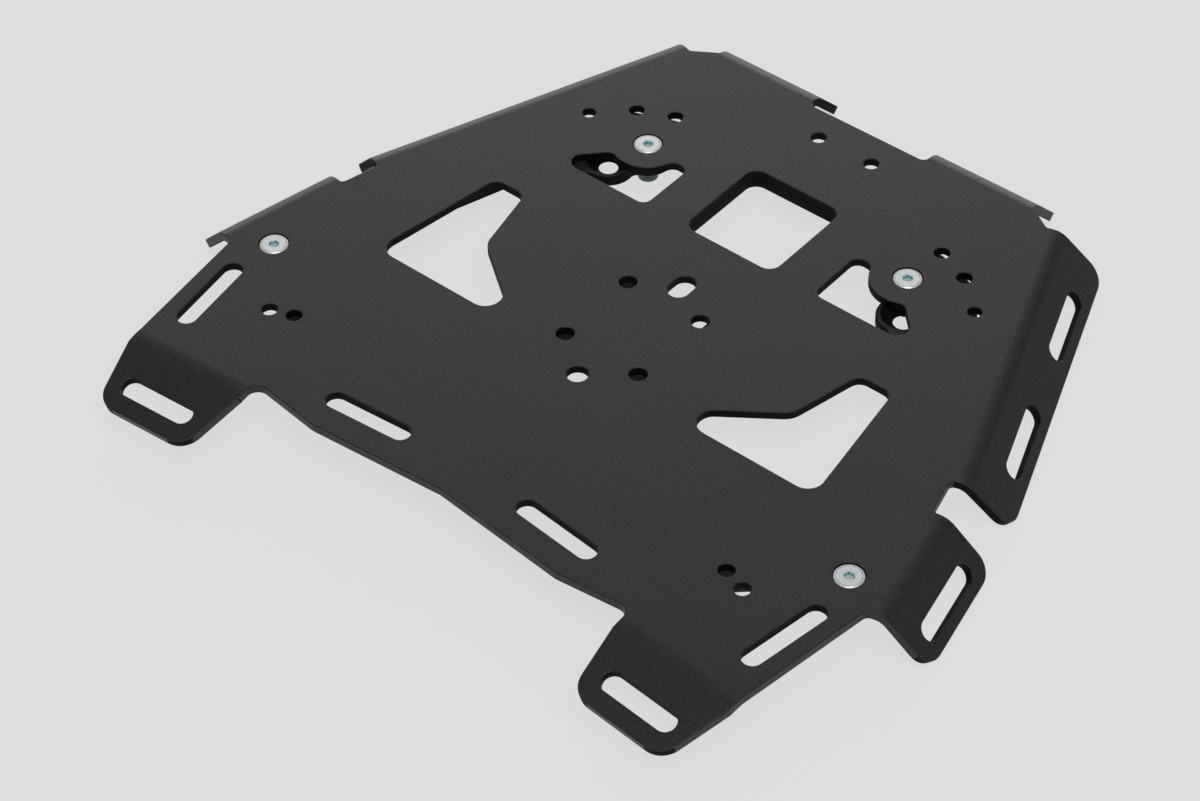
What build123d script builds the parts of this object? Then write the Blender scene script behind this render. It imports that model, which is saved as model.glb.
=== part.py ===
from build123d import *

import os
from dataclasses import dataclass
from math import cos, radians, sin, tan

# Motorcycle luggage rack: a folded sheet deck with strap slots, screwed to a flat
# mounting plate that carries it on the motorcycle.
# Millimetres, +Z up. The origin is on the centre line, on the underside of the
# mounting plate, level with its narrow-end fixing holes. +Y points to the narrow end.

# Sheet stock
deck_sheet = 4.0
plate_sheet = 5.0
deck_top = plate_sheet + deck_sheet

# Folds: places are where the flat faces of deck and flange would meet
steep_angle = 45.0
steep_radius = 10.0
shallow_angle = 14.5
shallow_radius = 30.0
flange_length = 27.6
flange_corner = 8.5
tab_length = 33.3
tab_corner = 10.0
bend_spare = 10.0

narrow_fold_y = 86.4
narrow_flange_inner = 30.7
narrow_flange_outer = 83.5
long_fold_point = (127.95, 6.05)
long_fold_heading = 20.55
long_flange_far = 77.8
long_flange_near = 76.5
short_fold_point = (165.4, -113.2)
short_fold_heading = 11.6
short_flange_far = 29.5
short_flange_near = 27.5
tab_fold_point = (120.0, -204.2)
tab_fold_heading = -94.3
tab_outboard = 34.0
tab_outboard_taper = 7.4
tab_inboard = 24.0
tab_inboard_taper = 5.9

# Deck outline between the folds
narrow_edge_y = 79.8
narrow_relief_corner = 3.0
narrow_slope_start = 83.8
relief_depth = 2.2
relief_corner = 2.5
notch_corner = 2.0
shoulder_depth = 3.2
shoulder_corner = 3.0
wide_edge_centre_y = -194.0
wide_edge_low = (62.5, -199.4)
wide_edge_low_corner = 12.0
wide_notch_y = -195.5
wide_notch_corner = 4.8

# Strap slots
slot_width = 8.7
deck_slot_length = 40.5
flange_slot_length = 40.0
short_slot_length = 35.5
flange_slot_edge = 9.1
tab_slot_edge = 12.3
long_flange_slot_spacing = 70.4
corner_slot = (147.5, -170.2)
corner_slot_angle = 80.5
edge_slot = (48.4, -182.1)
edge_slot_angle = -4.9

# Windows
square_window_width = 46.2
square_window_length = 47.8
square_window_y = 7.3
square_window_corner = 5.5
triangle_low_y = -107.0
triangle_high_y = -43.3
triangle_low_inner = 37.6
triangle_low_outer = 112.8
triangle_high_outer = 103.5
triangle_high_inner = 87.5
triangle_waist = (79.8, -76.6)
triangle_low_corner = 7.0
triangle_high_corner = 5.0
triangle_waist_corner = 10.0
small_window_inner = 44.2
small_window_low_y = -16.3
small_window_high_y = 12.8
small_window_tip = 94.6
small_window_corner = 4.0
small_window_tip_corner = 5.2
screw_land_radius = 16.0

# Screws and threaded inserts
narrow_screw = (68.4, 15.3)
wide_screw = (148.3, -131.9)
screw_radius = 3.0
screw_head_radius = 6.0
screw_head_land = 0.4
screw_head_sink = 0.1
screw_sink_angle = 90.0
screw_length = 16.0
screw_tip_chamfer = 0.6
hex_across_flats = 4.0
hex_depth = 1.8
hex_mouth = 0.3
shank_clearance = 0.3
thread_clearance = 0.05
seat_rim = 0.5
insert_radius = 4.5
insert_head_radius = 5.6
insert_head_height = 0.8
insert_length = 14.0
insert_collar_radius = 6.0
insert_collar_height = 2.6

# Spare holes in the deck: each pair is mirrored about the centre line
m6_hole_radius = 3.35
m6_holes = [(86.4, 29.8), (70.45, 36.6), (13.9, 64.25), (121.6, -162.0), (111.3, -158.4)]
side_hole = (101.45, 15.6)
side_hole_radius = 3.0
centre_pair_radius = 3.8
centre_pair = [(18.85, -58.1), (18.9, -97.7)]
centre_hole_y = -112.5
centre_hole_radius = 4.5
centre_slot_y = -46.6
centre_slot_width = 9.4
centre_slot_length = 13.6

# Mounting plate
fixing_x = 77.7
fixing_row_spacing = 140.0
fixing_radius = 4.2
fixing_sink_radius = 9.4
fixing_sink_angle = 100.0
fixing_lobe_radius = 11.4
fixing_lobe_fillet = 3.5
narrow_ear_radius = 11.2
wide_ear_radius = 12.0
plate_corner = 6.0
plate_far_y = 54.1
plate_far_shoulder = (72.0, 38.6)
plate_far_corner = (92.0, 31.1)
rail_outer_top = (101.7, 17.5)
rail_outer_low = (154.5, -124.4)
rail_inner_top = (102.3, -34.9)
rail_inner_low = (126.8, -109.9)
ear_foot = (134.0, -142.4)
plate_low_corner = (113.0, -161.4)
plate_low_y = -153.9
leg_outer_top = 40.0
leg_outer_low = 49.0
leg_inner = 19.0
neck_half_width = 12.0
neck_top_y = -91.4
neck_low_y = -121.9
centre_opening_top_y = -33.9
frame_outer = 38.3
frame_low_y = -19.9
frame_high_y = 18.1
lobe_opening_outer = 80.0


@dataclass
class Fold:
    """One fold line of the deck, with the flange that hangs from it.

    Along the line, lengths run from start to end. Across it, they run outward.
    """

    point: tuple
    heading: float
    angle: float
    radius: float
    start: float
    end: float
    length: float
    corner: float
    start_taper: float = 0.0
    end_taper: float = 0.0

    @property
    def setback(self):
        """Distance from the meeting line of the two flat faces to where the bend starts."""
        return self.radius * tan(radians(self.angle / 2))

    @property
    def outward(self):
        return Vector(cos(radians(self.heading)), sin(radians(self.heading)), 0)

    @property
    def along(self):
        return self.outward.cross(Vector(0, 0, 1))

    @property
    def plane(self):
        origin = (self.point[0], self.point[1], deck_top)
        return Plane(origin=origin, x_dir=self.along, z_dir=(0, 0, 1))

    @property
    def flange_plane(self):
        """Top face of the flange: x along the fold, y down the flange."""
        normal = self.outward * sin(radians(self.angle)) + Vector(0, 0, cos(radians(self.angle)))
        return Plane(origin=self.plane.origin, x_dir=self.along, z_dir=normal)

    @property
    def middle(self):
        return (self.start + self.end) / 2

    def place(self, along, outward):
        """Plan position of a point beside the fold line."""
        spot = self.plane.from_local_coords((along, outward, 0))
        return (spot.X, spot.Y)

    def rim(self, along):
        """Plan position just beyond the bend, where the outline can stop."""
        return self.place(along, self.setback)


narrow_fold = Fold((0, narrow_fold_y), 90, steep_angle, steep_radius,
                   narrow_flange_inner, narrow_flange_outer, flange_length, flange_corner)
long_fold = Fold(long_fold_point, long_fold_heading, steep_angle, steep_radius,
                 -long_flange_far, long_flange_near, flange_length, flange_corner)
short_fold = Fold(short_fold_point, short_fold_heading, steep_angle, steep_radius,
                  -short_flange_far, short_flange_near, flange_length, flange_corner)
tab_fold = Fold(tab_fold_point, tab_fold_heading, shallow_angle, shallow_radius,
                -tab_outboard, tab_inboard, tab_length, tab_corner,
                tab_outboard_taper, tab_inboard_taper)
folds = [narrow_fold, long_fold, short_fold, tab_fold]


def rounded_face(plane, corners):
    """Face on a plane through (point, radius) corners, each rounded by its own radius."""
    with BuildSketch(plane) as face:
        with BuildLine():
            Polyline([point for point, _ in corners], close=True)
        make_face()
        for point, radius in corners:
            if radius > 0:
                fillet(face.vertices().sort_by_distance(point)[0], radius)
    return face.sketch


def bend(fold, outline):
    """Curved strip between deck and flange, trimmed by the deck's outline."""
    centre = (-fold.setback, -fold.radius)
    origin = fold.plane.from_local_coords((fold.start - bend_spare, 0, 0))
    with BuildPart() as strip:
        with BuildSketch(Plane(origin=origin, x_dir=fold.outward, z_dir=fold.along)):
            with BuildLine():
                outer = CenterArc(centre, fold.radius, 90 - fold.angle, fold.angle)
                inner = CenterArc(centre, fold.radius - deck_sheet, 90 - fold.angle, fold.angle)
                Line(outer @ 0, inner @ 0)
                Line(outer @ 1, inner @ 1)
            make_face()
        extrude(amount=fold.end - fold.start + 2 * bend_spare)
        extrude(outline, amount=-deck_top, mode=Mode.INTERSECT)
    return strip.part


def flange(fold, slots):
    """Flat flange below a bend, with its strap slots as (place, length, edge distance)."""
    face = rounded_face(fold.flange_plane, [
        ((fold.start, fold.setback), 0),
        ((fold.start + fold.start_taper, fold.length), fold.corner),
        ((fold.end - fold.end_taper, fold.length), fold.corner),
        ((fold.end, fold.setback), 0),
    ])
    with BuildPart() as leaf:
        extrude(face, amount=-deck_sheet)
        with BuildSketch(fold.flange_plane):
            for place, length, edge in slots:
                with Locations((place, fold.length - edge)):
                    SlotOverall(length, slot_width)
        extrude(amount=-deck_sheet, mode=Mode.SUBTRACT)
    return leaf.part


def deck_outline():
    """Right half of the deck's outline, out to the far side of each bend."""
    relief = -long_fold.setback - relief_depth
    shoulder = -short_fold.setback - shoulder_depth
    return rounded_face(Plane.XY.offset(deck_top), [
        ((0, narrow_edge_y), 0),
        ((narrow_flange_inner, narrow_edge_y), narrow_relief_corner),
        (narrow_fold.rim(narrow_fold.start), 0),
        (narrow_fold.rim(narrow_fold.end), 0),
        ((narrow_flange_outer, narrow_slope_start), 0),
        (long_fold.place(long_fold.start, relief), relief_corner),
        (long_fold.rim(long_fold.start), 0),
        (long_fold.rim(long_fold.end), 0),
        (long_fold.place(long_fold.end, relief), notch_corner),
        (short_fold.place(short_fold.start, relief), notch_corner),
        (short_fold.rim(short_fold.start), 0),
        (short_fold.rim(short_fold.end), 0),
        (short_fold.place(short_fold.end, shoulder), shoulder_corner),
        (tab_fold.place(tab_fold.start, -tab_fold.setback), 0),
        (tab_fold.rim(tab_fold.start), 0),
        (tab_fold.rim(tab_fold.end), 0),
        ((tab_fold.place(tab_fold.end, 0)[0], wide_notch_y), wide_notch_corner),
        (wide_edge_low, wide_edge_low_corner),
        ((0, wide_edge_centre_y), 0),
    ])


def small_window():
    """Window beside a narrow-end screw, which keeps a round land about the screw."""
    height = small_window_high_y - small_window_low_y
    with BuildSketch(Plane.XY.offset(deck_top)) as window:
        with BuildLine():
            Polyline([
                (small_window_inner, small_window_low_y),
                (small_window_inner, small_window_high_y),
                (small_window_tip - height, small_window_high_y),
                (small_window_tip, small_window_low_y),
            ], close=True)
        make_face()
        with Locations(narrow_screw):
            Circle(screw_land_radius, mode=Mode.SUBTRACT)
        *corners, tip = window.vertices().sort_by(Axis.X)
        fillet(corners, small_window_corner)
        fillet(window.vertices().sort_by_distance(tip)[0], small_window_tip_corner)
    return window.sketch


def triangle_window():
    """Window with a waist between the long side and the wide end."""
    return rounded_face(Plane.XY.offset(deck_top), [
        ((triangle_low_inner, triangle_low_y), triangle_low_corner),
        ((triangle_low_outer, triangle_low_y), triangle_low_corner),
        ((triangle_high_outer, triangle_high_y), triangle_high_corner),
        ((triangle_high_inner, triangle_high_y), triangle_high_corner),
        (triangle_waist, triangle_waist_corner),
    ])


def square_window(plane):
    """Window on the centre line, the same in the deck and in the mounting plate."""
    with BuildSketch(plane) as window:
        with Locations((0, square_window_y)):
            RectangleRounded(square_window_width, square_window_length, square_window_corner)
    return window.sketch


def make_top_plate():
    """Deck, bends and flanges of one folded sheet: the right half, mirrored."""
    top = Plane.XY.offset(deck_top)
    outline = deck_outline()
    long_slots = [
        (long_fold.middle - long_flange_slot_spacing / 2, flange_slot_length, flange_slot_edge),
        (long_fold.middle + long_flange_slot_spacing / 2, flange_slot_length, flange_slot_edge),
    ]
    flange_slots = [
        (narrow_fold, [(narrow_fold.middle, short_slot_length, flange_slot_edge)]),
        (long_fold, long_slots),
        (short_fold, [(short_fold.middle, flange_slot_length, flange_slot_edge)]),
        (tab_fold, [(tab_fold.middle, short_slot_length, tab_slot_edge)]),
    ]
    with BuildPart() as plate:
        extrude(outline, amount=-deck_sheet)
        for fold in folds:
            with BuildSketch(fold.plane):
                with Locations((fold.middle, 0)):
                    Rectangle(fold.end - fold.start + 2 * bend_spare, 2 * fold.setback)
                with Locations((fold.middle, fold.setback)):
                    Rectangle(fold.end - fold.start + 2 * bend_spare, fold.setback)
            extrude(amount=-deck_sheet, mode=Mode.SUBTRACT)
        for fold, slots in flange_slots:
            add(bend(fold, outline))
            add(flange(fold, slots))
        extrude(triangle_window(), amount=-deck_sheet, mode=Mode.SUBTRACT)
        extrude(small_window(), amount=-deck_sheet, mode=Mode.SUBTRACT)
        with BuildSketch(top):
            with Locations(Location(corner_slot, corner_slot_angle)):
                SlotOverall(deck_slot_length, slot_width)
            with Locations(Location(edge_slot, edge_slot_angle)):
                SlotOverall(deck_slot_length, slot_width)
            with Locations(m6_holes):
                Circle(m6_hole_radius)
            with Locations(side_hole):
                Circle(side_hole_radius)
            with Locations(centre_pair):
                Circle(centre_pair_radius)
        extrude(amount=-deck_sheet, mode=Mode.SUBTRACT)
        for spot in (narrow_screw, wide_screw):
            with Locations((*spot, deck_top)):
                CounterSinkHole(screw_radius + shank_clearance, screw_head_radius + seat_rim,
                                deck_sheet, screw_sink_angle)
        mirror(about=Plane.YZ)
        extrude(square_window(top), amount=-deck_sheet, mode=Mode.SUBTRACT)
        with BuildSketch(top):
            with Locations((0, centre_hole_y)):
                Circle(centre_hole_radius)
            with Locations(Location((0, centre_slot_y), 90)):
                SlotOverall(centre_slot_length, centre_slot_width)
        extrude(amount=-deck_sheet, mode=Mode.SUBTRACT)
    return plate.part


def plate_outline():
    """Right half of the mounting plate without its ears."""
    return rounded_face(Plane.XY, [
        ((0, plate_far_y), 0),
        (plate_far_shoulder, plate_corner),
        (plate_far_corner, plate_corner),
        (rail_outer_top, plate_corner),
        (rail_outer_low, 0),
        (wide_screw, 0),
        (ear_foot, 0),
        (plate_low_corner, plate_corner),
        ((0, plate_low_y), 0),
    ])


def rail_opening():
    """Opening of the mounting plate between its central leg and its side rail."""
    return rounded_face(Plane.XY, [
        ((leg_outer_top, rail_inner_top[1]), plate_corner),
        (rail_inner_top, plate_corner),
        (rail_inner_low, plate_corner),
        ((leg_outer_low, rail_inner_low[1]), plate_corner),
    ])


def lobe_opening():
    """Opening beside the square window, which leaves the fixing lobe and the screw's ear."""
    with BuildSketch() as opening:
        with BuildLine():
            Polyline([
                (frame_outer, frame_low_y),
                (lobe_opening_outer, frame_low_y),
                (lobe_opening_outer, 0),
                (fixing_x, 0),
                narrow_screw,
                (narrow_screw[0], frame_high_y),
                (frame_outer, frame_high_y),
            ], close=True)
        make_face()
        with Locations((fixing_x, 0)):
            Circle(fixing_lobe_radius, mode=Mode.SUBTRACT)
        with Locations(narrow_screw):
            Circle(narrow_ear_radius, mode=Mode.SUBTRACT)
        fillet(opening.vertices().sort_by_distance((fixing_x, 0))[:2], fixing_lobe_fillet)
        fillet(opening.vertices().group_by(Axis.X)[0], plate_corner)
        low_corner = (lobe_opening_outer, frame_low_y)
        fillet(opening.vertices().sort_by_distance(low_corner)[0], fixing_lobe_fillet)
    return opening.sketch


def centre_opening():
    """Opening between the two central legs, narrower at the wide end."""
    return rounded_face(Plane.XY, [
        ((0, centre_opening_top_y), 0),
        ((leg_inner, centre_opening_top_y), plate_corner),
        ((leg_inner, neck_top_y + leg_inner - neck_half_width), plate_corner),
        ((neck_half_width, neck_top_y), plate_corner),
        ((neck_half_width, neck_low_y), plate_corner),
        ((0, neck_low_y), 0),
    ])


def make_mounting_plate():
    """Flat plate under the deck: a frame of rails and legs with ears for the screws."""
    with BuildPart() as plate:
        extrude(plate_outline(), amount=plate_sheet)
        with BuildSketch():
            with Locations(wide_screw):
                Circle(wide_ear_radius)
        extrude(amount=plate_sheet)
        for opening in (rail_opening(), lobe_opening(), centre_opening()):
            extrude(opening, amount=plate_sheet, mode=Mode.SUBTRACT)
        for spot in (narrow_screw, wide_screw):
            with Locations((*spot, plate_sheet)):
                CounterBoreHole(insert_radius, insert_head_radius, insert_head_height, plate_sheet)
        for row_y in (0, -fixing_row_spacing):
            with Locations((fixing_x, row_y, plate_sheet)):
                CounterSinkHole(fixing_radius, fixing_sink_radius, plate_sheet, fixing_sink_angle)
        mirror(about=Plane.YZ)
        extrude(square_window(Plane.XY), amount=plate_sheet, mode=Mode.SUBTRACT)
    return plate.part


def make_screw():
    """Countersunk screw with a hexagon socket, on the Z axis at its own height."""
    head_top = deck_top - screw_head_sink
    rim_z = head_top - screw_head_land
    neck_z = rim_z - (screw_head_radius - screw_radius)
    tip_z = head_top - screw_length
    with BuildPart() as screw:
        with BuildSketch(Plane.XZ):
            with BuildLine():
                Polyline([
                    (0, head_top),
                    (screw_head_radius, head_top),
                    (screw_head_radius, rim_z),
                    (screw_radius, neck_z),
                    (screw_radius, tip_z + screw_tip_chamfer),
                    (screw_radius - screw_tip_chamfer, tip_z),
                    (0, tip_z),
                ], close=True)
            make_face()
        revolve(axis=Axis.Z)
        with BuildSketch(Plane.XY.offset(head_top)):
            RegularPolygon(hex_across_flats / 2, 6, major_radius=False)
        extrude(amount=-hex_depth, mode=Mode.SUBTRACT)
        mouth = screw.edges().filter_by(GeomType.LINE).group_by(Axis.Z)[-1]
        chamfer(mouth, hex_mouth)
    return screw.part


def make_insert():
    """Threaded insert set in the mounting plate: flush head, barrel and collar below."""
    bore = screw_radius + thread_clearance
    with BuildPart() as insert:
        with BuildSketch(Plane.XZ):
            with BuildLine():
                Polyline([
                    (bore, plate_sheet),
                    (insert_head_radius, plate_sheet),
                    (insert_head_radius, plate_sheet - insert_head_height),
                    (insert_radius, plate_sheet - insert_head_height),
                    (insert_radius, 0),
                    (insert_collar_radius, 0),
                    (insert_collar_radius, -insert_collar_height),
                    (insert_radius, -insert_collar_height),
                    (insert_radius, plate_sheet - insert_length),
                    (bore, plate_sheet - insert_length),
                ], close=True)
            make_face()
        revolve(axis=Axis.Z)
    return insert.part


def save(piece, name):
    """Write one finished piece under its own name."""
    piece.label = name
    export_step(piece, f"parts/{name}.step")


os.makedirs("parts", exist_ok=True)
save(make_top_plate(), "top_plate")
save(make_mounting_plate(), "mounting_plate")
screw_form = make_screw()
insert_form = make_insert()
for end, (x, y) in (("narrow", narrow_screw), ("wide", wide_screw)):
    for side, sign in (("left", -1), ("right", 1)):
        with BuildPart() as screw:
            with Locations((sign * x, y, 0)):
                add(screw_form)
        save(screw.part, f"screw_{end}_{side}")
        with BuildPart() as insert:
            with Locations((sign * x, y, 0)):
                add(insert_form)
        save(insert.part, f"insert_{end}_{side}")
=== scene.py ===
# %% [markdown]
# # A luggage rack of folded sheet
# The rack is two pieces of sheet, laser cut and powder coated: a deck whose edges are folded
# down, and a flat mounting plate below it. Four countersunk screws hold them together, each in
# a threaded insert that is set in the mounting plate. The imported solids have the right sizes
# and places. What is missing is how the metal looks: soft coated edges, the fine grain of the
# coat, and bright turned screws. The lesson starts by loading the solids as a frame.
# Everything is in metres, with the origin at the middle of the narrow-end fixing holes.

import math

import bpy
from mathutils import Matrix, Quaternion, Vector
from mathutils.bvhtree import BVHTree


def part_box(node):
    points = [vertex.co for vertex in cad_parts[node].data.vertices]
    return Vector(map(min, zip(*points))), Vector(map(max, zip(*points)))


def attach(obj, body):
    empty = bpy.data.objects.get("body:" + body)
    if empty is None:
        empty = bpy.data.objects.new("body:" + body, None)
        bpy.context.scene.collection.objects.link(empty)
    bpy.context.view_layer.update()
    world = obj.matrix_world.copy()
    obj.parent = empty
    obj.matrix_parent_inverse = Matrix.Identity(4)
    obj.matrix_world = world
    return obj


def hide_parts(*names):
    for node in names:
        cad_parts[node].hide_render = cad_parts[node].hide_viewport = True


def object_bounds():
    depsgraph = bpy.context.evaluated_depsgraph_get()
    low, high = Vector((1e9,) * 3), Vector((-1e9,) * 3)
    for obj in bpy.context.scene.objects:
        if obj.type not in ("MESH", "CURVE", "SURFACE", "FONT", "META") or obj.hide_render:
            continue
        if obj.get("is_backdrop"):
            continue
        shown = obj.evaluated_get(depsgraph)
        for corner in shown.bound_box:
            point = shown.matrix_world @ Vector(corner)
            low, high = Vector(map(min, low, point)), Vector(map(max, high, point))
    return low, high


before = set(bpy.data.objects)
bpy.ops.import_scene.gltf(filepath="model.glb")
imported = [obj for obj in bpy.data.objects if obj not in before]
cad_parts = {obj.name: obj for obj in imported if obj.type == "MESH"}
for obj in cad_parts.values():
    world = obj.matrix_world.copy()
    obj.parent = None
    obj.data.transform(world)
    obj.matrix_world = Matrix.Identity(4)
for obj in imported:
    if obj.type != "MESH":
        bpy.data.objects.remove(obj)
cad_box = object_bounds()
print("solids:", ", ".join(sorted(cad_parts)))
print("box of the solids:", [[round(v, 4) for v in corner] for corner in cad_box])

# %% [markdown]
# ## The camera
# The photograph was taken with a long lens, from about 1.2 metres away and 44 degrees above
# the deck. A long lens keeps the far flanges nearly as large as the near ones. The camera is
# put at its measured place and aimed at the point of the deck that sits in the middle of the
# picture. It is then turned a little about its own axis, because the picture is slightly off
# level.

# %% Put up the camera
camera_place = Vector((0.60031, -0.79548, 0.87893))
camera_aim = Vector((0.016838, -0.118676, 0.009143))
camera_roll = math.radians(-1.2821)
lens_mm = 95.33
sensor_mm = 36

camera_data = bpy.data.cameras.new("camera")
camera_data.lens = lens_mm
camera_data.sensor_width = sensor_mm
camera = bpy.data.objects.new("camera", camera_data)
bpy.context.scene.collection.objects.link(camera)
level = (camera_aim - camera_place).to_track_quat("-Z", "Y")
camera.location = camera_place
camera.rotation_euler = (level @ Quaternion((0, 0, 1), camera_roll)).to_euler()
bpy.context.scene.camera = camera
print("distance to the deck:", round((camera_aim - camera_place).length, 3), "m")

# %% [markdown]
# ## Arithmetic on materials
# A procedural material is a chain of small sums: noise times strength plus colour. Each sum is
# a node, and wiring them one by one hides what they mean. A small class wraps one socket, so a
# sum is written as a sum in Python and the Math nodes follow from it. The reflected forms are
# there so that a number may stand first, as in 1 - mask.

# %% Signals
class Signal:
    """One output of a finish's nodes, which arithmetic can be done on."""

    def __init__(self, finish, socket):
        self.finish = finish
        self.socket = socket

    def math(self, operation, *values):
        inputs = dict(enumerate(values))
        return self.finish.add("ShaderNodeMath", {"operation": operation}, inputs)

    def __add__(self, other):
        return self.math("ADD", self, other)

    def __radd__(self, other):
        return self.math("ADD", other, self)

    def __sub__(self, other):
        return self.math("SUBTRACT", self, other)

    def __rsub__(self, other):
        return self.math("SUBTRACT", other, self)

    def __mul__(self, other):
        return self.math("MULTIPLY", self, other)

    def __rmul__(self, other):
        return self.math("MULTIPLY", other, self)

    def sine(self):
        return self.math("SINE", self)

    def capped(self, most):
        """The signal, but nowhere more than most."""
        return self.math("MINIMUM", self, most)


print("sums can now be written on signals, such as 1 - mask")

# %% [markdown]
# ## A finish, and the nodes it is made of
# Every other kind of node comes from one method, which takes the node's type, its settings and
# what goes into its sockets. The finishes on this rack all need the same few: noise as grain,
# smooth steps as masks, blends of two colours, and bumps. Each gets a short name. Patterns
# are laid out in object coordinates, in metres, so they have a real size and stay on the piece.

# %% Finishes
class Finish:
    """A procedural material, with one method that adds any node."""

    def __init__(self, name):
        self.material = bpy.data.materials.new(name)
        self.material.use_nodes = True
        self.nodes = self.material.node_tree.nodes
        self.links = self.material.node_tree.links
        self.nodes.clear()

    def add(self, kind, settings=None, inputs=None, output=0):
        node = self.nodes.new(kind)
        for name, value in (settings or {}).items():
            setattr(node, name, value)
        for name, value in (inputs or {}).items():
            if isinstance(value, Signal):
                self.links.new(value.socket, node.inputs[name])
            else:
                node.inputs[name].default_value = value
        if len(node.outputs) == 0:
            return node
        return Signal(self, node.outputs[output])

    def place(self, centre=(0, 0, 0)):
        """Object coordinates, counted from a centre on the piece."""
        here = self.add("ShaderNodeTexCoord", output="Object")
        away = tuple(-v for v in centre)
        return self.add("ShaderNodeMapping", None, {"Vector": here, "Location": away})

    def grain(self, place, size, detail=2.0):
        """Noise from 0 to 1 whose spots are about size metres across."""
        return self.add("ShaderNodeTexNoise", None,
                        {"Vector": place, "Scale": 1 / size, "Detail": detail})

    def step(self, value, low, high, from_value=0.0, to_value=1.0):
        """Smooth change from from_value to to_value as a signal goes from low to high."""
        return self.add("ShaderNodeMapRange", {"interpolation_type": "SMOOTHSTEP"},
                        {"Value": value, "From Min": low, "From Max": high,
                         "To Min": from_value, "To Max": to_value})

    def blend(self, share, first, second):
        """Colour that goes from first to second as share goes from 0 to 1."""
        # A Mix node has its two colours in inputs 6 and 7, and the result in output 2.
        return self.add("ShaderNodeMix", {"data_type": "RGBA"},
                        {0: share, 6: first, 7: second}, output=2)

    def bump(self, height, distance, strength, normal=None):
        """Relief of a signal, on top of another relief if one is given."""
        inputs = {"Height": height, "Distance": distance, "Strength": strength}
        if normal is not None:
            inputs["Normal"] = normal
        return self.add("ShaderNodeBump", None, inputs)

    def finish(self, **inputs):
        """Principled shader with these sockets, joined to the output."""
        named = {name.replace("_", " "): value for name, value in inputs.items()}
        shader = self.add("ShaderNodeBsdfPrincipled", None, named)
        self.add("ShaderNodeOutputMaterial", None, {"Surface": shader})
        return self.material


def scaled(colour, factor):
    """A colour made darker or lighter by a factor."""
    return tuple(factor * v for v in colour[:3]) + (1.0,)


print("half of white:", scaled((1.0, 1.0, 1.0), 0.5))

# %% [markdown]
# ## Black powder coat
# Powder coat is sprayed on dry and melted in an oven. It goes on thick and evenly, so it has no
# brush marks, but up close it shows a fine grain like the skin of an orange, and this one is
# matte. The grain is a bump with two sizes of noise: spots of half a millimetre, and pebbles
# of a little over one. The colour is not pure black, because real black coats return about two
# percent of the light, and it varies with the same noise. The walls of slots and windows, where
# shade falls, get a duller coat whose dark colour is painted shade. The mounting plate's coat
# is a little duller than the deck's, and its colour is a little darker as painted shade,
# because the plate lies in the shade under the deck.

# %% Mix the powder coat
spot_size = 0.0005
pebble_size = 0.0013
patch_size = 0.06
patch_part = 0.25
darkest = 0.36
lightest = 1.8
spot_relief = 0.00005
pebble_relief = 0.0001
relief_strength = 0.6
uneven_gloss = 0.06


def powder_coat(name, shade, roughness, shine):
    coat = Finish(name)
    place = coat.place()
    spots = coat.grain(place, spot_size)
    pebbles = coat.grain(place, pebble_size)
    patches = coat.grain(place, patch_size, 4.0)
    speckle = coat.step(spots * 0.5 + pebbles * 0.5, 0.3, 0.7)
    share = speckle * (1 - patch_part) + patches * patch_part
    colour = coat.blend(share, scaled(shade, darkest), scaled(shade, lightest))
    gloss = roughness - uneven_gloss + patches * uneven_gloss + pebbles * uneven_gloss
    soft = coat.bump(pebbles, pebble_relief, relief_strength)
    skin = coat.bump(spots, spot_relief, relief_strength, soft)
    return coat.finish(Base_Color=colour, Roughness=gloss, Normal=skin,
                       Specular_IOR_Level=shine)


deck_coat = powder_coat("black_powder_coat", (0.0170, 0.0174, 0.0188, 1.0), 0.47, 0.42)
# The plate's colour is darker than the deck's as painted shade, because the plate lies under
# the deck.
shaded_plate_coat = powder_coat("plate_powder_coat", (0.0120, 0.0124, 0.0136, 1.0), 0.55, 0.3)
# The coat of the cuts: its dark colour is painted shade, for the shade in slots, windows, screw
# seats and between the sheets.
painted_shade_coat = powder_coat("painted_shade_in_cuts", (0.0030, 0.0033, 0.0042, 1.0), 0.7, 0.12)
print("powder coat nodes:", len(deck_coat.node_tree.nodes))

# %% [markdown]
# ## Where things are on a turned piece
# The finish of a screw changes with the distance from its axis and with the height below its
# face, and with nothing else. Both are worked out from the object coordinates, counted from the
# middle of the face. Smooth steps on them give the masks. One mask takes the hexagon socket,
# which the plating bath tints. A second takes the socket's corners and the foot of its walls,
# where shade falls, and darkens them as painted shade. A third is a ring, for the groove in the
# face, which is darkened as a painted shadow.

# %% Masks on a turned piece
# Shares of painted shade in the socket's corners and at the foot of its walls.
corner_shade_share = 0.75
foot_shade_share = 0.8
most_shade_share = 0.9
# Share of the painted shadow in the groove of the face.
groove_shadow_strength = 0.75


def from_axis(plating, place):
    """Height along the piece's axis, and distance from that axis."""
    split = plating.add("ShaderNodeSeparateXYZ", None, {"Vector": place}).socket.node
    height = Signal(plating, split.outputs["Z"])
    flat = plating.add("ShaderNodeVectorMath", {"operation": "MULTIPLY"},
                       {0: place, 1: (1, 1, 0)})
    radius = plating.add("ShaderNodeVectorMath", {"operation": "LENGTH"}, {0: flat},
                         output="Value")
    return height, radius


def socket_masks(plating, height, radius, corner, depth):
    """Where the piece is sunk below its face, tinted, and darkened as painted shade."""
    inside = plating.step(radius, corner, corner + 0.0002, 1.0, 0.0)
    sunk = inside * plating.step(height, -0.0005, -0.0001, 1.0, 0.0)
    tinted = sunk * plating.step(height, -depth - 0.00005, -depth + 0.0001)
    edges = plating.step(radius, corner * 0.9, corner * 0.98, 0.0, corner_shade_share)
    foot = plating.step(height, -depth, -depth * 0.6, foot_shade_share, 0.0)
    return sunk, tinted, tinted * (edges + foot).capped(most_shade_share)


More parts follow.
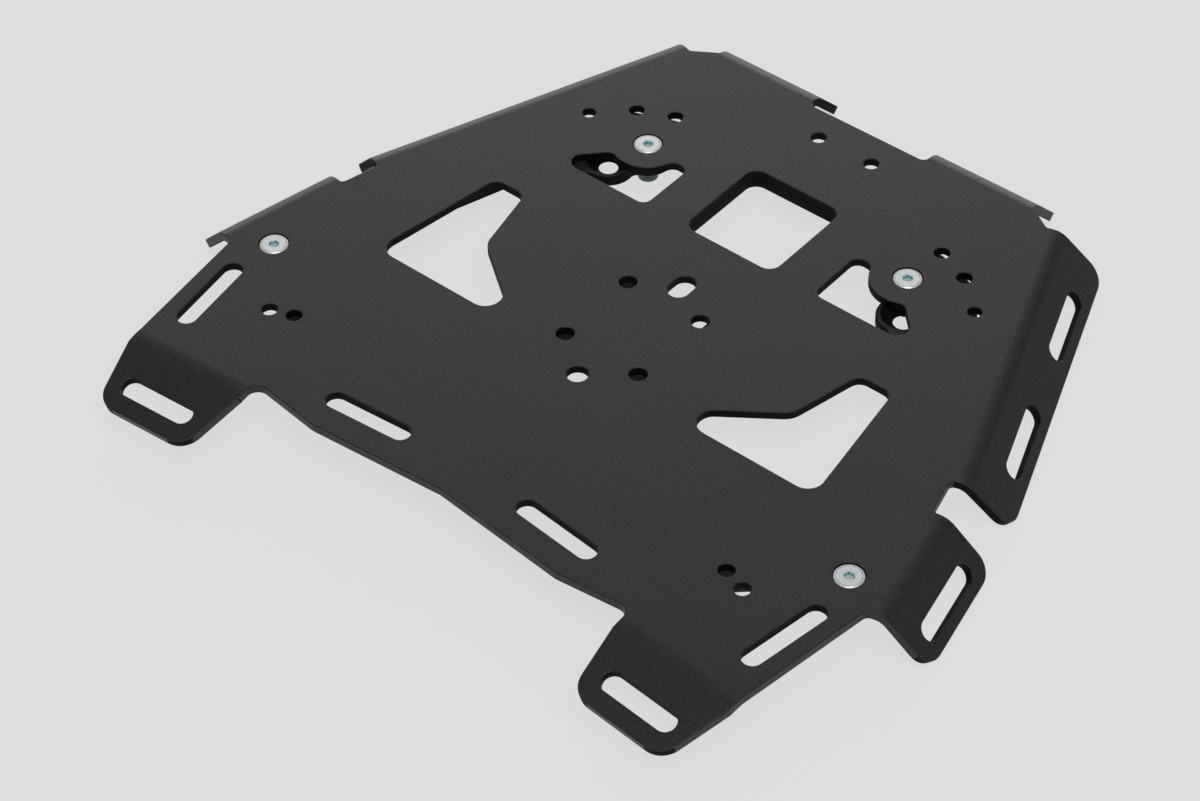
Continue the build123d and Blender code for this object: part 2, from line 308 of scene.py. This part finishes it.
def groove_mask(plating, radius, groove):
    """Where the groove in the face is, for the painted shadow in it."""
    rise = plating.step(radius, groove - 0.00018, groove - 0.0001)
    fall = plating.step(radius, groove + 0.00004, groove + 0.00012, groove_shadow_strength, 0.0)
    return rise * fall


print("masks ready")

# %% [markdown]
# ## Bright zinc
# The screws and inserts are steel with a thin layer of zinc. A part of what it shows is
# reflection, but the passivating bath leaves a chalky film, so the finish is four parts metal
# to six parts matte, and still less metal in the socket. The turned head of a screw keeps the
# fine rings of the tool that faced it, which are sines of the distance from the screw's axis.
# The bath also leaves a blue-green tint on the upright walls of the hexagon socket.

# %% Mix the zinc
ring_pitch = 0.0003
ring_relief = 0.000004
wobble_size = 0.003
wobble_depth = 5
mottle_size = 0.0009
mottle_relief = 0.00003
dull_shade = 0.75
# How dark the painted shadow in the groove is.
groove_shadow_tone = 0.3
# How dark the painted shade in the socket's corners and at its foot is.
socket_shade_tone = 0.12
smoothest = 0.3
uneven_shine = 0.2
face_metal = 0.4
socket_metal = 0.2


def zinc(name, face_middle, bright, deep, corner, depth, groove):
    plating = Finish(name)
    place = plating.place(face_middle)
    height, radius = from_axis(plating, place)
    sunk, tinted, painted_socket_shade = socket_masks(plating, height, radius, corner, depth)
    mottle = plating.grain(place, mottle_size, 4.0)
    wobble = plating.grain(place, wobble_size)
    rings = (radius * (2 * math.pi / ring_pitch) + wobble * wobble_depth).sine()
    patchy = plating.step(mottle, 0.35, 0.7)
    face = plating.blend(patchy, bright, scaled(bright, dull_shade))
    # Painted shadow: the face is darkened in the ring of the groove.
    shadow_in_groove = groove_mask(plating, radius, groove)
    face = plating.blend(shadow_in_groove, face, scaled(bright, groove_shadow_tone))
    colour = plating.blend(tinted, face, deep)
    # Painted shade: the socket's corners and the foot of its walls are darkened.
    colour = plating.blend(painted_socket_shade, colour, scaled(deep, socket_shade_tone))
    lines = plating.bump(rings * (1 - tinted), ring_relief, 0.5)
    spots = plating.bump(mottle, mottle_relief, 0.6, lines)
    return plating.finish(Base_Color=colour, Normal=spots,
                          Roughness=smoothest + mottle * uneven_shine,
                          Metallic=face_metal - sunk * (face_metal - socket_metal))


zinc_white = (0.95, 0.98, 0.97, 1.0)
zinc_teal = (0.30, 0.68, 0.74, 1.0)
# The inserts' dark grey is painted shade, for zinc in the shadow under the deck.
shaded_zinc_grey = (0.10, 0.125, 0.14, 1.0)
print("zinc is mixed for each screw, because its rings turn about the screw's own axis")

# %% [markdown]
# ## Working by hand in edit mode
# Blender's operators act on what is selected. After the frame is loaded everything in it is
# selected, and a new primitive comes selected all over. So each step starts by selecting
# nothing, and then takes only what it needs.

# %% Select and edit
def take(piece):
    """Select one piece and nothing else, and make it the active one."""
    if bpy.context.object is not None:
        bpy.ops.object.mode_set(mode="OBJECT")
    bpy.ops.object.select_all(action="DESELECT")
    bpy.context.view_layer.objects.active = piece
    piece.select_set(True)


def edit(piece):
    """Open a piece for editing with nothing selected in it."""
    take(piece)
    bpy.ops.object.mode_set(mode="EDIT")
    bpy.ops.mesh.select_mode(type="VERT")
    bpy.ops.mesh.select_all(action="DESELECT")


def close_edit(piece):
    """Turn all faces outwards and go back to object mode."""
    bpy.ops.mesh.select_all(action="SELECT")
    bpy.ops.mesh.normals_make_consistent(inside=False)
    bpy.ops.object.mode_set(mode="OBJECT")
    return len(piece.data.polygons)


print("active object:", bpy.context.object)

# %% [markdown]
# ## Turning
# A lathe makes a piece from its profile, one diameter after the other. The same is done here by
# hand: a ring of points about the axis is extruded along it and resized, from one pair of
# radius and height to the next. Every ring has the same number of points, so two rings can be
# bridged later without a twist.

# %% Turn a profile
same_height = 1e-6
same_radius = 1e-5


def start_ring(name, radius, height, sides):
    """A ring of points about the Z axis, open for editing and selected."""
    bpy.ops.object.select_all(action="DESELECT")
    bpy.ops.mesh.primitive_circle_add(vertices=sides, radius=radius, fill_type="NOTHING",
                                      location=(0, 0, height))
    piece = bpy.context.object
    piece.name = piece.data.name = name
    bpy.ops.object.transform_apply(location=True, rotation=True, scale=True)
    bpy.ops.object.mode_set(mode="EDIT")
    bpy.ops.mesh.select_mode(type="VERT")
    bpy.ops.mesh.select_all(action="SELECT")
    return piece


def turn(profile):
    """Extrude the selected ring through (radius, height) pairs, the first being its own."""
    for (radius, height), (next_radius, next_height) in zip(profile, profile[1:]):
        bpy.ops.mesh.extrude_edges_move(
            TRANSFORM_OT_translate={"value": (0, 0, next_height - height)})
        growth = next_radius / radius
        bpy.ops.transform.resize(value=(growth, growth, 1))


def select_rings(piece, rings):
    """Select the edges that lie at a ring's height and within its reach of the axis."""
    mesh = piece.data
    for edge in mesh.edges:
        ends = [mesh.vertices[i].co for i in edge.vertices]
        edge.select = any(
            all(abs(end.z - height) < same_height and end.xy.length < reach for end in ends)
            for height, reach in rings)


def bridge(piece, rings):
    """Join two rings of a piece with faces, and turn all faces outwards."""
    edit(piece)
    bpy.ops.object.mode_set(mode="OBJECT")
    select_rings(piece, rings)
    bpy.ops.object.mode_set(mode="EDIT")
    bpy.ops.mesh.select_mode(type="EDGE")
    bpy.ops.mesh.bridge_edge_loops()
    return close_edit(piece)


print("the lathe is ready")

# %% [markdown]
# ## Finishing a mesh
# Modifiers are applied as soon as they have done their work, so that the mesh is what it looks
# like. A bevel or a union can leave points that lie on each other, with faces of no width
# between them, so those are merged. Weighted normals then let the small faces of a rounded edge
# lean towards the large flat ones beside them, which keeps flat faces flat to the eye.

# %% Apply, merge and shade
merge_reach = 0.000002
smooth_sheet = 35
smooth_screw = 30
smooth_insert = 40


def apply_all(piece):
    """Apply every modifier of a piece, in order."""
    take(piece)
    for modifier in list(piece.modifiers):
        bpy.ops.object.modifier_apply(modifier=modifier.name)


def merge_close(piece):
    """Merge the points that lie on each other, so that no face has a zero width."""
    edit(piece)
    bpy.ops.mesh.select_all(action="SELECT")
    bpy.ops.mesh.remove_doubles(threshold=merge_reach)
    bpy.ops.object.mode_set(mode="OBJECT")


def even_normals(piece, angle):
    """Smooth shading that keeps flat faces flat beside their rounded edges."""
    take(piece)
    bpy.ops.object.shade_smooth_by_angle(angle=math.radians(angle))
    shading = piece.modifiers.new("even", "WEIGHTED_NORMAL")
    shading.keep_sharp = True
    shading.weight = 100
    apply_all(piece)


print("points closer than", merge_reach * 1e6, "micrometres are merged")

# %% [markdown]
# ## Soft edges on the two sheets
# Laser-cut sheet is tumbled or sanded before coating, and the coat flows over the corner, so
# every edge is round by a few tenths of a millimetre. Those round edges catch thin lines of
# light that show where the sheet ends. A solid from CAD has knife edges. The mesh of a packed
# solid is loose triangles, so a copy of it is merged and its flat faces joined. A Bevel
# modifier then rounds every edge sharper than 55 degrees, which leaves the bends and the
# countersinks alone.

# %% Round the coated edges
edge_rounding = 0.0004
flat_within = math.radians(0.4)
round_above = math.radians(55)


def rounded_copy(node, name):
    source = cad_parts[node]
    piece = source.copy()
    piece.data = source.data.copy()
    piece.name = piece.data.name = name
    bpy.context.scene.collection.objects.link(piece)
    edit(piece)
    bpy.ops.mesh.select_all(action="SELECT")
    bpy.ops.mesh.remove_doubles(threshold=merge_reach)
    bpy.ops.mesh.customdata_custom_splitnormals_clear()
    bpy.ops.mesh.dissolve_limited(angle_limit=flat_within)
    bpy.ops.object.mode_set(mode="OBJECT")
    rounding = piece.modifiers.new("rounding", "BEVEL")
    rounding.width = edge_rounding
    rounding.segments = 3
    rounding.limit_method = "ANGLE"
    rounding.angle_limit = round_above
    rounding.use_clamp_overlap = False
    apply_all(piece)
    merge_close(piece)
    even_normals(piece, smooth_sheet)
    return piece


deck = rounded_copy("top_plate", "folded_deck")
carrier = rounded_copy("mounting_plate", "mounting_plate_coated")
print("faces:", len(deck.data.polygons), "and", len(carrier.data.polygons))

# %% [markdown]
# ## Find the walls of the cuts
# A wall of a slot or window faces its opposite wall, and an outer edge faces nothing. So a ray
# is cast from the middle of each upright face, and where it meets the same sheet within a
# window's width, the face is in a cut. The cone under a screw's head opens upwards, so it is
# found by its place. The narrow rounded rims where the two sheets meet, under the deck and on
# top of the plate, lie in the shade between the sheets, so they are taken too. They are known
# by the size of their faces and by how far those lean. All these faces get a dark colour that
# is painted shade.

# %% Look for cuts
window_reach = 0.075
seat_reach = 0.007
ray_gap = 0.00005
lean_of_walls = 0.8
lean_of_seats = 0.9
rim_face_area = 0.000015


def middle(node):
    """The point where the axis of a node crosses the plane z = 0."""
    low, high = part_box(node)
    return Vector(((low[0] + high[0]) / 2, (low[1] + high[1]) / 2, 0))


screw_spots = [middle(node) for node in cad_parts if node.startswith("screw")]


def in_cut(walls, centre, normal):
    start = centre + normal * ray_gap
    hit = walls.ray_cast(start, normal, window_reach)[0]
    if abs(normal.z) < lean_of_walls and hit is not None:
        return True
    near_screw = min((centre.xy - spot.xy).length for spot in screw_spots) < seat_reach
    return near_screw and normal.z < lean_of_seats


print("screws at, in mm:", [[round(v * 1000, 1) for v in spot.xy] for spot in screw_spots])

# %% [markdown]
# ## Coat the sheets, and their cuts
# Each sheet gets two materials: its own coat, and the darker coat of the cuts, whose colour is
# painted shade. Which of the two a face has is its material index. The sheet then stands for
# its solid and rides on the rack.

# %% Paint the two sheets
def paint(sheet, node, coat, rim_lean):
    mesh = sheet.data
    mesh.materials.clear()
    mesh.materials.append(coat)
    mesh.materials.append(painted_shade_coat)
    corners = [vertex.co.copy() for vertex in mesh.vertices]
    walls = BVHTree.FromPolygons(corners, [list(face.vertices) for face in mesh.polygons])
    low, high = rim_lean
    shaded = []
    for face in mesh.polygons:
        on_rim = low < face.normal.z < high and face.area < rim_face_area
        # Faces in cuts, at screw seats and on the rims between the sheets get the painted
        # shade.
        shaded.append(1 if on_rim or in_cut(walls, face.center, face.normal) else 0)
    mesh.polygons.foreach_set("material_index", shaded)
    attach(sheet, "root")
    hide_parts(node)
    print(sheet.name, "faces with the thin coat:", sum(shaded), "of", len(shaded))


rims_below = (-0.98, -0.1)
rims_above = (0.1, 0.98)
paint(deck, "top_plate", deck_coat, rims_below)
paint(carrier, "mounting_plate", shaded_plate_coat, rims_above)

# %% [markdown]
# ## A countersunk screw
# The screw is a turned part: a flat head with a bevelled rim, a cone that seats in the deck and
# a threaded shank. A shallow groove runs round the face just inside the rim, and the face
# inside the groove lies a hair lower. The head is built from rings, from the face outwards and
# down to the tip, which is closed with one face.

# %% Model the screw once
screw_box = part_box("screw_wide_right")
head_top = screw_box[1][2]
screw_tip = screw_box[0][2]
head_radius = (screw_box[1][0] - screw_box[0][0]) / 2
shank_radius = 0.003
thread_core = shank_radius - 0.0004
rim_low = head_top - 0.0004
neck = rim_low - (head_radius - shank_radius)
socket_depth = 0.0018
socket_corner = 0.004 / math.sqrt(3)
face_start = socket_corner + 0.00035
face_height = head_top - 0.00002
face_groove = head_radius - 0.00085
groove_floor = head_top - 0.00012
screw_sides = 72


def model_screw():
    screw = start_ring("screw", face_start, face_height, screw_sides)
    turn([
        (face_start, face_height),
        (face_groove - 0.00018, face_height),
        (face_groove - 0.00008, groove_floor),
        (face_groove + 0.00006, groove_floor),
        (face_groove + 0.00014, head_top),
        (head_radius - 0.00045, head_top),
        (head_radius - 0.00008, head_top - 0.00027),
        (head_radius, head_top - 0.00035),
        (head_radius, rim_low),
        (shank_radius, neck),
        (shank_radius, neck - 0.0006),
        (thread_core, neck - 0.001),
        (thread_core, screw_tip + 0.0003),
        (thread_core - 0.0003, screw_tip),
    ])
    bpy.ops.mesh.edge_face_add()
    bpy.ops.object.mode_set(mode="OBJECT")
    return screw


screw_model = model_screw()
print("turned faces:", len(screw_model.data.polygons))

# %% [markdown]
# ## The hexagon socket
# A hexagon can't be turned, so it starts as a ring of six points whose sides are divided until
# it has as many points as the face's inner ring. It is extruded down to a flat floor, with the
# blunt cone that the drill left in the middle, and its mouth has a small chamfer. The two rings
# are then bridged point to point.

# %% Sink the hexagon socket
mouth_height = head_top - 0.00004


def sink_socket(screw):
    mouth = socket_corner + 0.00016
    socket_floor = head_top - socket_depth
    edit(screw)
    bpy.ops.mesh.primitive_circle_add(vertices=6, radius=mouth, fill_type="NOTHING",
                                      location=(0, 0, mouth_height))
    bpy.ops.mesh.subdivide(number_cuts=screw_sides // 6 - 1)
    turn([
        (mouth, mouth_height),
        (socket_corner, head_top - 0.00024),
        (socket_corner, socket_floor + 0.00008),
        (socket_corner * 0.96, socket_floor),
        (socket_corner * 0.3, socket_floor),
        (socket_corner * 0.04, socket_floor - 0.00025),
    ])
    bpy.ops.mesh.edge_face_add()
    face_ring = (face_height, face_start + same_radius)
    return bridge(screw, [face_ring, (mouth_height, face_start)])


print("screw faces:", sink_socket(screw_model), "socket depth mm:", socket_depth * 1000)

# %% [markdown]
# ## The thread
# An M6 thread climbs one millimetre each turn. The Screw modifier sweeps a small closed
# triangle round the axis and upward, which gives the real spiral and not a stack of rings. Its
# two ends are filled. Its foot is sunk in the shank, and a Boolean modifier makes the two one
# closed body, with no faces left inside.

# %% Wind the thread
thread_pitch = 0.001
thread_turns = 11
steps_a_turn = 40
ridge_foot = thread_core - 0.00006
ridge_half = 0.00042


def wind_ridge():
    start = screw_tip + 0.0006
    bpy.ops.object.select_all(action="DESELECT")
    bpy.ops.mesh.primitive_circle_add(vertices=3, radius=ridge_half, fill_type="NOTHING")
    ridge = bpy.context.object
    corners = [(ridge_foot, 0, start - ridge_half), (shank_radius, 0, start),
               (ridge_foot, 0, start + ridge_half)]
    for vertex, corner in zip(ridge.data.vertices, corners):
        vertex.co = corner
    sweep = ridge.modifiers.new("sweep", "SCREW")
    sweep.screw_offset = thread_pitch
    sweep.iterations = thread_turns
    sweep.steps = sweep.render_steps = steps_a_turn
    apply_all(ridge)
    merge_close(ridge)
    edit(ridge)
    bpy.ops.mesh.select_non_manifold()
    bpy.ops.mesh.fill_holes(sides=4)
    close_edit(ridge)
    return ridge


def join_ridge(screw, ridge):
    union = screw.modifiers.new("thread", "BOOLEAN")
    union.operation = "UNION"
    union.solver = "EXACT"
    union.object = ridge
    apply_all(screw)
    bpy.data.objects.remove(ridge)
    merge_close(screw)
    even_normals(screw, smooth_screw)


join_ridge(screw_model, wind_ridge())
print("faces with the thread:", len(screw_model.data.polygons))

# %% [markdown]
# ## Put a copy in its place
# Each copy of a model gets its own mesh. It is turned and moved to its node's axis, and both
# are applied, so that the piece's place is in its mesh like every solid's.

# %% Copy and place
def place_copy(model, node, angle, material):
    piece = model.copy()
    piece.data = model.data.copy()
    piece.name = piece.data.name = node + "_detailed"
    bpy.context.scene.collection.objects.link(piece)
    piece.location = middle(node)
    piece.rotation_euler = (0, 0, math.radians(angle))
    take(piece)
    bpy.ops.object.transform_apply(location=True, rotation=True, scale=True)
    piece.data.materials.clear()
    piece.data.materials.append(material)
    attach(piece, "root")
    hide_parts(node)
    print(piece.name, "faces:", len(piece.data.polygons))


def on_axis(node, height):
    """The point of a node's axis at a height."""
    spot = middle(node)
    return spot[0], spot[1], height


print("height of the screws' faces, in mm:", round(head_top * 1000, 2))

# %% [markdown]
# ## Four screws, each turned its own way
# A screw stops where it is tight, so each socket points its own way. The angles are those of
# each socket's far corner, in degrees from the X axis, as they are in the photograph. The
# model's own first corner is at 90 degrees.

# %% Place the screws
far_corner = {
    "screw_narrow_left": 144.8,
    "screw_narrow_right": 130.8,
    "screw_wide_left": 117.8,
    "screw_wide_right": 130.8,
}
first_corner = 90
socket_reach = socket_corner + 0.00005

for node, angle in far_corner.items():
    plating = zinc(node + "_zinc", on_axis(node, head_top), zinc_white, zinc_teal,
                   socket_reach, socket_depth, face_groove)
    place_copy(screw_model, node, angle - first_corner, plating)
bpy.data.objects.remove(screw_model)

# %% [markdown]
# ## Threaded inserts
# A blind-rivet nut is pulled tight in its hole: its thin flange lies flush in a recess on top
# of the mounting plate, and its wall folds into a round collar under it. Below the collar the
# barrel goes on, and its end shows from below. It is turned in one closed profile, from the
# bore's mouth round the outside and back, and the last ring is bridged to the first.

# %% Model the insert once
insert_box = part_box("insert_wide_right")
insert_top = insert_box[1][2]
insert_low = insert_box[0][2]
insert_bore = 0.00305
barrel = 0.0045
flange = 0.0056
collar = (insert_box[1][0] - insert_box[0][0]) / 2
collar_top = -0.00001
collar_low = -0.0026
bevel = 0.0003
insert_sides = 64


def model_insert():
    insert = start_ring("insert", insert_bore, insert_top - bevel, insert_sides)
    turn([
        (insert_bore, insert_top - bevel),
        (insert_bore + bevel, insert_top),
        (flange - 0.00015, insert_top),
        (flange, insert_top - 0.00015),
        (flange, insert_top - 0.00078),
        (barrel, insert_top - 0.00079),
        (barrel, collar_top),
        (collar - 0.0003, collar_top),
        (collar - 0.00004, -0.0005),
        (collar, -0.0013),
        (collar - 0.0002, -0.002),
        (collar - 0.0007, collar_low + 0.0001),
        (barrel + 0.0002, collar_low - 0.0001),
        (barrel, collar_low - 0.0004),
        (barrel, insert_low + 0.0004),
        (barrel - bevel, insert_low),
        (insert_bore + bevel, insert_low),
        (insert_bore, insert_low + bevel),
    ])
    reach = insert_bore + same_radius
    bridge(insert, [(insert_top - bevel, reach), (insert_low + bevel, reach)])
    even_normals(insert, smooth_insert)
    return insert


insert_model = model_insert()
print("insert height, in mm:", round((insert_top - insert_low) * 1000, 2))

# %% [markdown]
# ## Four inserts
# The inserts have the same zinc, in a dark grey that is painted shade, because they sit in
# the shadow under the deck, with one colour for all of it. They have no socket and no groove in
# a face, so those masks are put where the insert has no metal: inside its bore, and beyond its
# flange.

# %% Place the inserts
no_socket = 0.0001
no_depth = 0.001
no_groove = flange + 0.001

for end in ("narrow", "wide"):
    for side in ("left", "right"):
        node = f"insert_{end}_{side}"
        # Painted shade: the inserts get the dark grey of zinc in shadow.
        plating = zinc(node + "_zinc", on_axis(node, insert_top), shaded_zinc_grey, shaded_zinc_grey,
                       no_socket, no_depth, no_groove)
        place_copy(insert_model, node, 0, plating)
bpy.data.objects.remove(insert_model)

# %% [markdown]
# ## The floor
# The rack lies on a plain pale floor. Most of the floor's colour is fixed for the camera and
# for reflections, so the background stays even. The rest is lit, so that the rack keeps a faint
# shadow, and for all other light the floor is lit paper.

# %% Lay the floor
floor_height = cad_box[0][2]
floor_size = 12
paper_shade = (0.762, 0.762, 0.762, 1.0)
fixed_part = 0.88

bpy.ops.object.select_all(action="DESELECT")
bpy.ops.mesh.primitive_plane_add(size=floor_size, location=(0, 0, floor_height))
floor = bpy.context.object
floor.name = floor.data.name = "floor"
bpy.ops.object.transform_apply(location=True, rotation=True, scale=True)

paper = Finish("pale_paper")
seen = paper.add("ShaderNodeLightPath").socket.node.outputs
straight = Signal(paper, seen["Is Camera Ray"]) + Signal(paper, seen["Is Glossy Ray"])
straight = straight + Signal(paper, seen["Is Transmission Ray"])
fixed_share = straight.capped(1.0) * fixed_part
lit = paper.add("ShaderNodeBsdfDiffuse", None, {"Color": paper_shade})
glow = paper.add("ShaderNodeEmission", None, {"Color": paper_shade, "Strength": 1.0})
mixed = paper.add("ShaderNodeMixShader", None, {0: fixed_share, 1: lit, 2: glow})
paper.add("ShaderNodeOutputMaterial", None, {"Surface": mixed})
floor.data.materials.append(paper.material)
floor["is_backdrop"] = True
print("floor at", round(floor_height * 1000, 1), "mm")

# %% [markdown]
# ## The light
# A large soft panel stands low behind the rack on its left, as a window would. The matte deck
# mirrors it at a slant, and the bends on that side pick it up as pale lines. A second panel
# overhead, on the camera's side, lights the faces and edges that look that way. An even sky
# fills in the rest.

# %% Hang the lights
def panel(name, place, size, power):
    lamp = bpy.data.lights.new(name, "AREA")
    lamp.shape = "RECTANGLE"
    lamp.size, lamp.size_y = size
    lamp.energy = power
    holder = bpy.data.objects.new(name, lamp)
    bpy.context.scene.collection.objects.link(holder)
    holder.location = place
    holder.rotation_euler = (middle_of_rack - Vector(place)).to_track_quat("-Z", "Y").to_euler()


middle_of_rack = Vector((0, -0.06, 0))
panel("window_panel", (-1.75, 2.15, 0.815), (2.94, 1.7), 38)
panel("top_panel", (0.8, -0.7, 2.1), (1.5, 1.5), 28)

world = bpy.data.worlds.new("studio")
bpy.context.scene.world = world
world.use_nodes = True
sky = world.node_tree.nodes["Background"]
sky.inputs["Color"].default_value = (0.95, 0.97, 1.0, 1.0)
sky.inputs["Strength"].default_value = 0.16
bpy.context.scene.view_settings.view_transform = "Standard"
lamps = [item for item in bpy.context.scene.objects if item.type == "LIGHT"]
print("lights:", len(lamps))

# %% [markdown]
# ## The size
# The dressed rack has to stay inside the box of its solids. Both boxes are written side by
# side.

# %% Write the sizes
model_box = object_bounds()
for number, side in enumerate("XYZ"):
    cad = cad_box[1][number] - cad_box[0][number]
    model = model_box[1][number] - model_box[0][number]
    print(side, "solids", round(cad * 1000, 2), "mm, dressed", round(model * 1000, 2), "mm")
